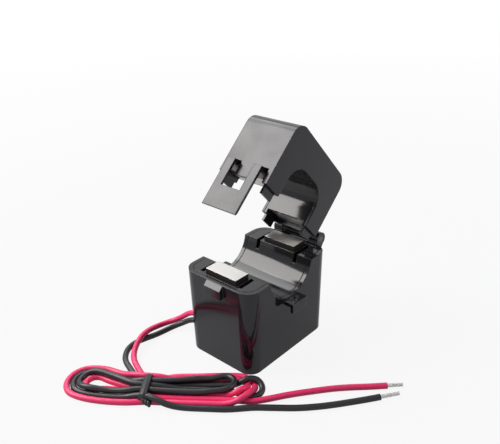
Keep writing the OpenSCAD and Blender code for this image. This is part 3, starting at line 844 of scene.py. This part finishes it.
@dataclass
class Settling:
    """The points of both leads, which come to rest on and beside each other.

    Attributes:
        layout: The hank's sizes.
        leads: The evenly spaced points of each lead.
        held: How many points at each lead's start and end stay where they are.
        rounds: Rounds in which the strands sink, and then rounds in which they only ease.
        room: The gap kept between two strands' middles, in diameters.
        watch: How much further apart than that a pair is still watched, first and at last.
        neighbours: Points nearer than this along one lead are never a pair.
        spans: How many points on each side a bend is measured over.
        open_tight: The share by which a bend that is too tight is opened, with open_any for every bend.
        above: The least height of a strand's middle, in diameters, first and at last.
    """

    layout: HankLayout
    leads: Sequence[np.ndarray]
    held: Sequence[tuple[int, int]]
    rounds: tuple[int, int] = (500, 80)
    sink: float = 0.005 * MM
    room: float = 1.04
    watch: Pair = (0.6 * MM, 1.5 * MM)
    refresh: int = 4
    neighbours: int = 5
    spans: tuple[int, ...] = (1, 2, 4)
    open_tight: float = 0.5
    open_any: float = 0.12
    length_passes: int = 3
    above: Pair = (0.52, 0.505)
    smoothings: int = 4
    smoothing: float = 0.25

    def __post_init__(self) -> None:
        """Joins the leads' points into one array, x, and works out what each point is linked to."""
        self.x = np.vstack(self.leads)
        count = [len(lead) for lead in self.leads]
        self.first = np.cumsum([0] + count)
        self.free = np.ones((len(self.x), 1))
        for k, (a, b) in enumerate(self.held):
            self.free[self.first[k] : self.first[k] + a] = 0
            self.free[self.first[k + 1] - b : self.first[k + 1]] = 0
        self.loose = self.free[:, 0] > 0
        self.gap = self.room * self.layout.lead_d
        self.owner = np.repeat(np.arange(len(count)), count)
        self.links = np.nonzero(self.owner[:-1] == self.owner[1:])[0]
        self.rest = np.linalg.norm(self.x[self.links + 1] - self.x[self.links], axis=1)

    def middles(self, k: int) -> np.ndarray:
        """The points with at least k more of their lead on each side."""
        return np.arange(len(self.x))[k:-k][self.owner[: -2 * k] == self.owner[2 * k :]]

    def pairs(self, margin: float) -> tuple[np.ndarray, ...]:
        """Every pair of points, not near along one lead, that is closer than the gap and a margin.

        Args:
            margin: How much further apart than the gap they may be.

        Returns:
            The first and the second points of the pairs.
        """
        index = np.arange(len(self.x))
        joined = np.abs(index[:, None] - index[None]) < self.neighbours
        joined &= self.owner[:, None] == self.owner[None]
        far = np.linalg.norm(self.x[:, None] - self.x[None], axis=2)
        return np.nonzero(np.triu(~joined, 1) & (far < self.gap + margin))

    def part(self, one: np.ndarray, two: np.ndarray, gap: float) -> None:
        """Moves strands that are nearer than the gap away from each other.

        Args:
            one: The first point of each pair.
            two: The second point of each pair.
            gap: The gap between two strands' middles.
        """
        way = self.x[one] - self.x[two]
        far = np.linalg.norm(way, axis=1)
        hit = far < gap
        push = way[hit] / np.maximum(far[hit], TINY)[:, None] * ((gap - far[hit]) / 2)[:, None]
        moved, times = np.zeros_like(self.x), np.zeros(len(self.x))
        np.add.at(moved, one[hit], push)
        np.add.at(moved, two[hit], -push)
        np.add.at(times, one[hit], 1)
        np.add.at(times, two[hit], 1)
        self.x += self.free * moved / np.maximum(times, 1)[:, None]

    def unbend(self, k: int) -> None:
        """Opens bends that are tighter than the least one, and every bend a little.

        Args:
            k: How many points on each side a bend is measured over.
        """
        middle = self.middles(k)
        most = (k * self.layout.spacing) ** 2 / (2 * self.layout.least_bend)
        bow = (self.x[middle - k] + self.x[middle + k]) / 2 - self.x[middle]
        size = np.linalg.norm(bow, axis=1)
        over = (np.maximum(size - most, 0) / np.maximum(size, TINY))[:, None]
        pull = bow * over * self.open_tight
        moved = np.zeros_like(self.x)
        np.add.at(moved, middle, pull)
        np.add.at(moved, middle - k, -pull / 2)
        np.add.at(moved, middle + k, -pull / 2)
        self.x += self.free * moved
        if k == 1:
            self.x[middle] += self.open_any * bow * self.free[middle]

    def keep_length(self) -> None:
        """Brings each link back towards its length."""
        way = self.x[self.links + 1] - self.x[self.links]
        size = np.linalg.norm(way, axis=1)
        pull = way / size[:, None] * ((size - self.rest) / 4)[:, None]
        moved = np.zeros_like(self.x)
        np.add.at(moved, self.links, pull)
        np.add.at(moved, self.links + 1, -pull)
        self.x += self.free * moved

    def keep_out(self) -> None:
        """Keeps the strands above the table, inside the tie and off the case's round corner."""
        x, loose, lay = self.x, self.loose, self.layout
        middle = self.above[0] * lay.lead_d
        x[:, 2] = np.where(loose, np.maximum(x[:, 2], middle), x[:, 2])
        along, across = lay.tie_axes()
        flat = x[:, :2] - np.array(lay.tied)
        s, n = flat @ along, flat @ across
        held = loose & (np.abs(s) < lay.tie_reach[0]) & (np.abs(n) < lay.tie_reach[1])
        ceiling = Layer.HIGH.value + lay.tie_slack
        x[:, 2] = np.where(held, np.clip(x[:, 2], Layer.LOW.value, ceiling), x[:, 2])
        half = lay.tie_columns * lay.pitch
        x[:, :2] += np.where(held, np.clip(n, -half, half) - n, 0)[:, None] * across
        off = x[:, :2] - np.array(lay.corner)
        far = np.linalg.norm(off, axis=1)
        least = lay.corner_r + middle
        inside = loose & (far < least) & (off[:, 0] > 0) & (off[:, 1] < 0)
        x[:, :2] += np.where(inside, (least - far) / np.maximum(far, TINY), 0)[:, None] * off

    def ease_once(self, one: np.ndarray, two: np.ndarray) -> None:
        """Parts the given pairs, opens bends and mends lengths.

        Args:
            one: The first point of each pair.
            two: The second point of each pair.
        """
        self.part(one, two, self.gap)
        for k in self.spans:
            self.unbend(k)
        for _ in range(self.length_passes):
            self.keep_length()

    def settle(self) -> list[np.ndarray]:
        """Lets the strands sink, ease and smooth out.

        Returns:
            The settled points of each lead.
        """
        for step in range(self.rounds[0]):
            self.x[:, 2] -= self.sink * self.free[:, 0]
            if step % self.refresh == 0:
                near = self.pairs(self.watch[0])
            self.ease_once(*near)
            self.keep_out()
        near = self.pairs(self.watch[1])
        for _ in range(self.rounds[1]):
            self.ease_once(*near)
            self.x[:, 2] = np.maximum(self.x[:, 2], self.above[1] * self.layout.lead_d)
        inner = self.middles(1)
        for _ in range(self.smoothings):
            bow = self.x[inner - 1] + self.x[inner + 1] - 2 * self.x[inner]
            self.x[inner] += self.smoothing * bow
            self.part(*near, self.layout.lead_d)
        return np.split(self.x, self.first[1:-1])


@dataclass
class Leads:
    """The two insulated leads: down from the bush, round the tied hank and out to their tinned ends."""

    diameter: float = 1.5 * MM
    red_length: float = 0.288
    black_length: float = 0.279
    tinned_d: float = 1.0 * MM
    strand_d: float = 0.3 * MM
    strand_root: float = 0.4 * MM
    strand_twist: float = 0.9
    strand_stagger: float = 0.05
    strand_points: int = 25
    outer_strands: int = 6
    layout: HankLayout = field(default_factory=HankLayout)
    red_in: Route = (
        (-0.0134, -0.0103, 0.0063), (-0.0158, -0.0103, 0.0051), (-0.0180, -0.0105, 0.0032),
        (-0.0200, -0.0112, 0.0017), (-0.0217, -0.0130, 0.0010), (-0.0223, -0.0158, 0.0011),
        (-0.0219, -0.0189, 0.0018), (-0.0210, -0.0220, 0.0023), (-0.0197, -0.0252, 0.0019),
        (-0.0175, -0.0282, 0.0012), (-0.0142, -0.0305, 0.0010), (-0.0106, -0.0318, 0.0010),
    )
    black_in: Route = (
        (-0.0132, -0.0103, 0.0041), (-0.0154, -0.0106, 0.0032), (-0.0174, -0.0114, 0.0018),
        (-0.0190, -0.0132, 0.0010), (-0.0196, -0.0160, 0.0008), (-0.0201, -0.0190, 0.0008),
        (-0.0210, -0.0220, 0.0008), (-0.0215, -0.0250, 0.0008), (-0.0205, -0.0280, 0.0008),
        (-0.0180, -0.0306, 0.0008), (-0.0146, -0.0326, 0.0008),
    )
    red_out: Route = (
        (0.0030, -0.0317, 0.0008), (0.0077, -0.0280, 0.0008), (0.0123, -0.0242, 0.0008),
        (0.0168, -0.0203, 0.0008), (0.0197, -0.0171, 0.0008), (0.0224, -0.0134, 0.0008),
        (0.0252, -0.0098, 0.0008), (0.0283, -0.0060, 0.0008), (0.0314, -0.0028, 0.0008),
        (0.0344, 0.0000, 0.0008), (0.0374, 0.0030, 0.0008),
    )
    black_out: Route = (
        (0.0015, -0.0345, 0.0013), (0.0060, -0.0314, 0.0008), (0.0090, -0.0293, 0.0008),
        (0.0122, -0.0270, 0.0008), (0.0155, -0.0247, 0.0008), (0.0190, -0.0221, 0.0008),
        (0.0224, -0.0194, 0.0008), (0.0256, -0.0168, 0.0008), (0.0286, -0.0138, 0.0008),
        (0.0312, -0.0108, 0.0008), (0.0336, -0.0077, 0.0008), (0.0360, -0.0045, 0.0008),
        (0.0382, -0.0014, 0.0008),
    )
    red_turns: tuple[Turn, ...] = (
        Turn(
            Side.RIGHT, start=(2, Layer.LOW), end=(-2, Layer.LOW), reach=27.2, sides=(5.6, -4.2),
            heights=(0.8, 2.3), halfway=((4.6, 0.8), (-4.0, 0.8)), drop=(0.42, 0.65),
        ),
        Turn(
            Side.LEFT, start=(-2, Layer.LOW), end=(2, Layer.HIGH), reach=21, sides=(-6.2, 4.4),
            heights=(0.8, 0.8), halfway=((-5.6, 0.8), (4.3, 0.9)),
        ),
        Turn(
            Side.RIGHT, start=(2, Layer.HIGH), end=(0, Layer.LOW), reach=25.2, sides=(4.1, -1.7),
            heights=(0.8, 2.5), halfway=((3.6, 1.2), (-1.1, 0.8)), drop=(0.4, 0.7),
        ),
        Turn(
            Side.LEFT, start=(0, Layer.LOW), end=(-1, Layer.LOW), reach=16.8, sides=(2.2, -3.6),
            heights=(0.8, 0.8), halfway=((0.9, 0.8), (-2.2, 0.8)),
        ),
    )
    black_turns: tuple[Turn, ...] = (
        Turn(
            Side.RIGHT, start=(1, Layer.LOW), end=(0, Layer.HIGH), reach=29.0, sides=(2.7, -1.9),
            heights=(2.6, 0.8), halfway=((1.9, 0.8), (0.4, 0.8)), drop=(0.3, 0.8),
        ),
        Turn(
            Side.LEFT, start=(0, Layer.HIGH), end=(-1, Layer.HIGH), reach=18.6, sides=(1.9, -3.5),
            heights=(2.4, 2.4), halfway=((1.2, 2.4), (-2.9, 2.4)),
        ),
        Turn(
            Side.RIGHT, start=(-1, Layer.HIGH), end=(1, Layer.HIGH), reach=22.8, sides=(-1.4, 2.9),
            heights=(2.4, 2.4), halfway=((-1.3, 2.4), (2.0, 2.4)),
        ),
        Turn(
            Side.LEFT, start=(1, Layer.HIGH), end=(-2, Layer.HIGH), reach=19.7, sides=(3.2, -4.8),
            heights=(0.8, 0.8), halfway=((2.8, 0.9), (-4.2, 0.9)),
        ),
    )
    red_held: tuple[int, int] = (44, 34)
    black_held: tuple[int, int] = (40, 40)

    def route(self, start: Point, way_in: Route, turns: Sequence[Turn], way_out: Route) -> np.ndarray:
        """A lead's points before it settles.

        Args:
            start: Where the lead leaves the bush.
            way_in: Its points from there to the hank.
            turns: Its turns in the hank.
            way_out: Its points from the hank to its end.

        Returns:
            The evenly spaced points.
        """
        laid = [self.layout.lay(turn) for turn in turns]
        return self.layout.spaced([start, *way_in, *np.vstack(laid), *way_out])

    def curve(self, name: str, line: np.ndarray) -> bpy.types.Object:
        """A lead as a round curve of one open spline.

        Args:
            name: The piece's name.
            line: Its points.

        Returns:
            The curve object.
        """
        data = bpy.data.curves.new(name, "CURVE")
        data.dimensions = "3D"
        data.bevel_depth = self.diameter / 2
        data.bevel_resolution = 4
        data.use_fill_caps = True
        spline = data.splines.new("POLY")
        spline.points.add(len(line) - 1)
        for point, place in zip(spline.points, line):
            point.co = (*place, 1)
        spline.use_smooth = True
        return link(bpy.data.objects.new(name, data))

    def strand_radius(self, share: float) -> float:
        """A strand's radius at a share of its length: it thins towards its cut end."""
        return self.strand_d / 2 * (1 - 0.25 * share**6)

    def strands(self, name: str, node: str, line: np.ndarray) -> bpy.types.Object:
        """The tinned strands that stand out of a lead's end, six twisted round one.

        Args:
            name: The piece's name.
            node: The CAD node that gives their length.
            line: The lead's points.

        Returns:
            The strands as one mesh object.
        """
        low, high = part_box(node)
        way = Vector(line[-1] - line[-3])
        way.z = 0
        way.normalize()
        length = abs(high.x - low.x) / abs(way.x) - self.tinned_d * abs(way.y / way.x)
        side = Vector((0, 0, 1))
        across = way.cross(side)
        start = Vector(line[-1]) - way * self.strand_root
        joined = bmesh.new()
        for k in range(self.outer_strands + 1):
            points = []
            for i in range(self.strand_points):
                s = i / (self.strand_points - 1)
                wavy = 1.05 + 0.12 * math.sin(5 * s + k)
                spread = self.strand_d * wavy if k < self.outer_strands else 0
                t = 2 * math.pi * (k / self.outer_strands + self.strand_twist * s)
                offset = across * math.cos(t) * spread + side * math.sin(t) * spread
                reach = (length + self.strand_root) * (1 - self.strand_stagger * (k % 3)) * s
                points.append(start + way * reach + offset)
            part = tube_mesh("strand", np.array(points), self.strand_radius, 8)
            joined.from_mesh(part)
            bpy.data.meshes.remove(part)
        mesh = bpy.data.meshes.new(name)
        joined.to_mesh(mesh)
        joined.free()
        return link(bpy.data.objects.new(name, mesh))

    def build(self) -> list[bpy.types.Object]:
        """Lays both leads.

        Returns:
            The cords and their bare ends.
        """
        starts = [self.exit_of("red_lead"), self.exit_of("black_lead")]
        lines = [
            self.route(starts[0], self.red_in, self.red_turns, self.red_out),
            self.route(starts[1], self.black_in, self.black_turns, self.black_out),
        ]
        red, black = Settling(self.layout, lines, (self.red_held, self.black_held)).settle()
        made = []
        for colour, line, exit_point, length, finish in (
            ("red", red, starts[0], self.red_length, RED_PVC),
            ("black", black, starts[1], self.black_length, BLACK_PVC),
        ):
            cord = self.curve(f"{colour}_cord", line)
            paint(cord, finish.material())
            ends = self.strands(f"{colour}_strands", f"{colour}_tinned_end", line)
            paint(ends, TINNED.material())
            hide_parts(f"{colour}_lead", f"{colour}_tail", "lead_hank")
            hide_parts(f"{colour}_tinned_end")
            for piece in (cord, ends):
                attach(piece, CASE_BODY)
            made += [cord, ends]
        return made

    def exit_of(self, node: str) -> Point:
        """The point where a lead leaves the bush.

        Args:
            node: The lead's CAD node, whose top gives the height.

        Returns:
            The point, on the bush's left end.
        """
        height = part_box(node)[1].z - self.diameter / 2
        bush_low, bush_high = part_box("lead_bush")
        return (bush_low.x, (bush_low.y + bush_high.y) / 2, height)


@dataclass
class HankTie:
    """A plastic-covered tie wire bent round the hank, with its two ends twisted together.

    Attributes:
        squareness: 1 for an oval loop, and more for one that is flatter between its bends.
        section: Each point's share of half the band's width and its height in thicknesses.
    """

    layout: HankLayout = field(default_factory=HankLayout)
    width: float = 1.9 * MM
    thickness: float = 0.35 * MM
    half_span: float = 3.9 * MM
    top: float = 3.25 * MM
    low: float = 0.32 * MM
    bend_r: float = 1.3 * MM
    squareness: float = 1.6
    lean: float = 0.35 * MM
    steps: int = 48
    section: tuple[Pair, ...] = (
        (-1, 0.5), (-0.55, 0.75), (-0.2, 0.8), (0, 1.35), (0.2, 0.8), (0.55, 0.75), (1, 0.5),
        (0.9, 0), (-0.9, 0),
    )
    twist_at: Pair = (0.2 * MM, 1.5 * MM)
    twist_way: Point = (0.9, -0.35, -0.3)
    twist_l: float = 2.2 * MM
    twist_turns: float = 1.5
    twist_off: float = 0.42 * MM
    end_r: float = 0.4 * MM
    end_points: int = 30

    def axes(self) -> tuple[Vector, Vector, Vector]:
        """The directions along and across the strands, and the tie's place on the table."""
        along, across = (Vector((*v, 0)) for v in self.layout.tie_axes())
        return along, across, Vector((*self.layout.tied, 0))

    def band(self) -> bmesh.types.BMesh:
        """The band round the strands, thicker along its wire core.

        Returns:
            The band's mesh.
        """
        along, across, middle = self.axes()
        bm = bmesh.new()
        r = self.bend_r
        rings = []
        for k in range(self.steps):
            t = 2 * math.pi * k / self.steps
            c, s = math.cos(t), math.sin(t)
            n = (self.half_span - r) * max(-1, min(1, self.squareness * c)) + r * c
            z = self.top / 2 + (self.top / 2 - r) * max(-1, min(1, self.squareness * s)) + r * s
            out = (across * c + Vector((0, 0, s))).normalized()
            base = middle + across * n + Vector((0, 0, max(self.low, z))) + along * self.lean * s
            ring = []
            for u, h in self.section:
                ring.append(base + along * u * self.width / 2 + out * self.thickness * (h - 0.5))
            rings.append([bm.verts.new(p) for p in ring])
        for a, b in zip(rings, rings[1:] + rings[:1]):
            for j in range(len(a)):
                m = (j + 1) % len(a)
                bm.faces.new((a[j], a[m], b[m], b[j]))
        return bm

    def ends(self, bm: bmesh.types.BMesh) -> None:
        """Adds the two ends, twisted round each other beside the hank.

        Args:
            bm: The band's mesh, which gets them.
        """
        along, across, middle = self.axes()
        inset, height = self.twist_at
        start = middle - across * (self.half_span - inset) + Vector((0, 0, height))
        lean_along, lean_across, rise = self.twist_way
        way = (along * lean_along + across * lean_across + Vector((0, 0, rise))).normalized()
        side = way.orthogonal().normalized()
        up = way.cross(side)
        for phase in (0, math.pi):
            points = []
            for i in range(self.end_points):
                s = i / (self.end_points - 1)
                t = phase + 2 * math.pi * self.twist_turns * s
                off = self.twist_off * ease(6 * s + 0.2)
                round_it = side * math.cos(t) + up * math.sin(t)
                points.append(start + way * self.twist_l * s + round_it * off)
            part = tube_mesh("tie_end", np.array(points), lambda s: self.end_r, 10)
            bm.from_mesh(part)
            bpy.data.meshes.remove(part)

    def build(self) -> bpy.types.Object:
        """Builds the tie.

        Returns:
            The tie, ready in the scene.
        """
        bm = self.band()
        self.ends(bm)
        bmesh.ops.recalc_face_normals(bm, faces=bm.faces)
        mesh = bpy.data.meshes.new("tie_wire")
        bm.to_mesh(mesh)
        bm.free()
        for face in mesh.polygons:
            face.use_smooth = True
        tie = link(bpy.data.objects.new("tie_wire", mesh))
        paint(tie, TIE_PLASTIC.material())
        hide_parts("hank_tie")
        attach(tie, CASE_BODY)
        return tie


# ---- transformer


@dataclass
class Transformer:
    """The rigid parts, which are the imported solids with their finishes."""

    nodes: dict[str, bpy.types.Object]
    open_angle: float = 47.3

    def dress(self) -> list[str]:
        """Gives each solid its finish.

        Returns:
            The names of the finished solids.
        """
        for name, finish in FINISHES.items():
            paint(self.nodes[name], finish.material())
        swung = math.radians(self.open_angle)
        lower = GroundCore("core_lower", (0, 0, 1))
        upper = GroundCore("core_upper", (0, -math.sin(swung), -math.cos(swung)))
        paint(self.nodes["lower_core"], lower.material())
        paint(self.nodes["upper_core"], upper.material())
        return [*FINISHES, "lower_core", "upper_core"]


def main() -> None:
    """Builds the scene piece by piece and reports each one."""
    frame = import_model()
    logging.basicConfig(level=logging.INFO, format="%(name)s: %(message)s")
    Studio().build()
    LOG.info("studio: camera, floor and lamps")
    for piece in Leads().build():
        LOG.info("lead piece: %s", piece.name)
    LOG.info("tie: %s", HankTie().build().name)
    for name in Transformer(frame["nodes"]).dress():
        LOG.info("finished solid: %s", name)


if __name__ == "__main__":
    main()
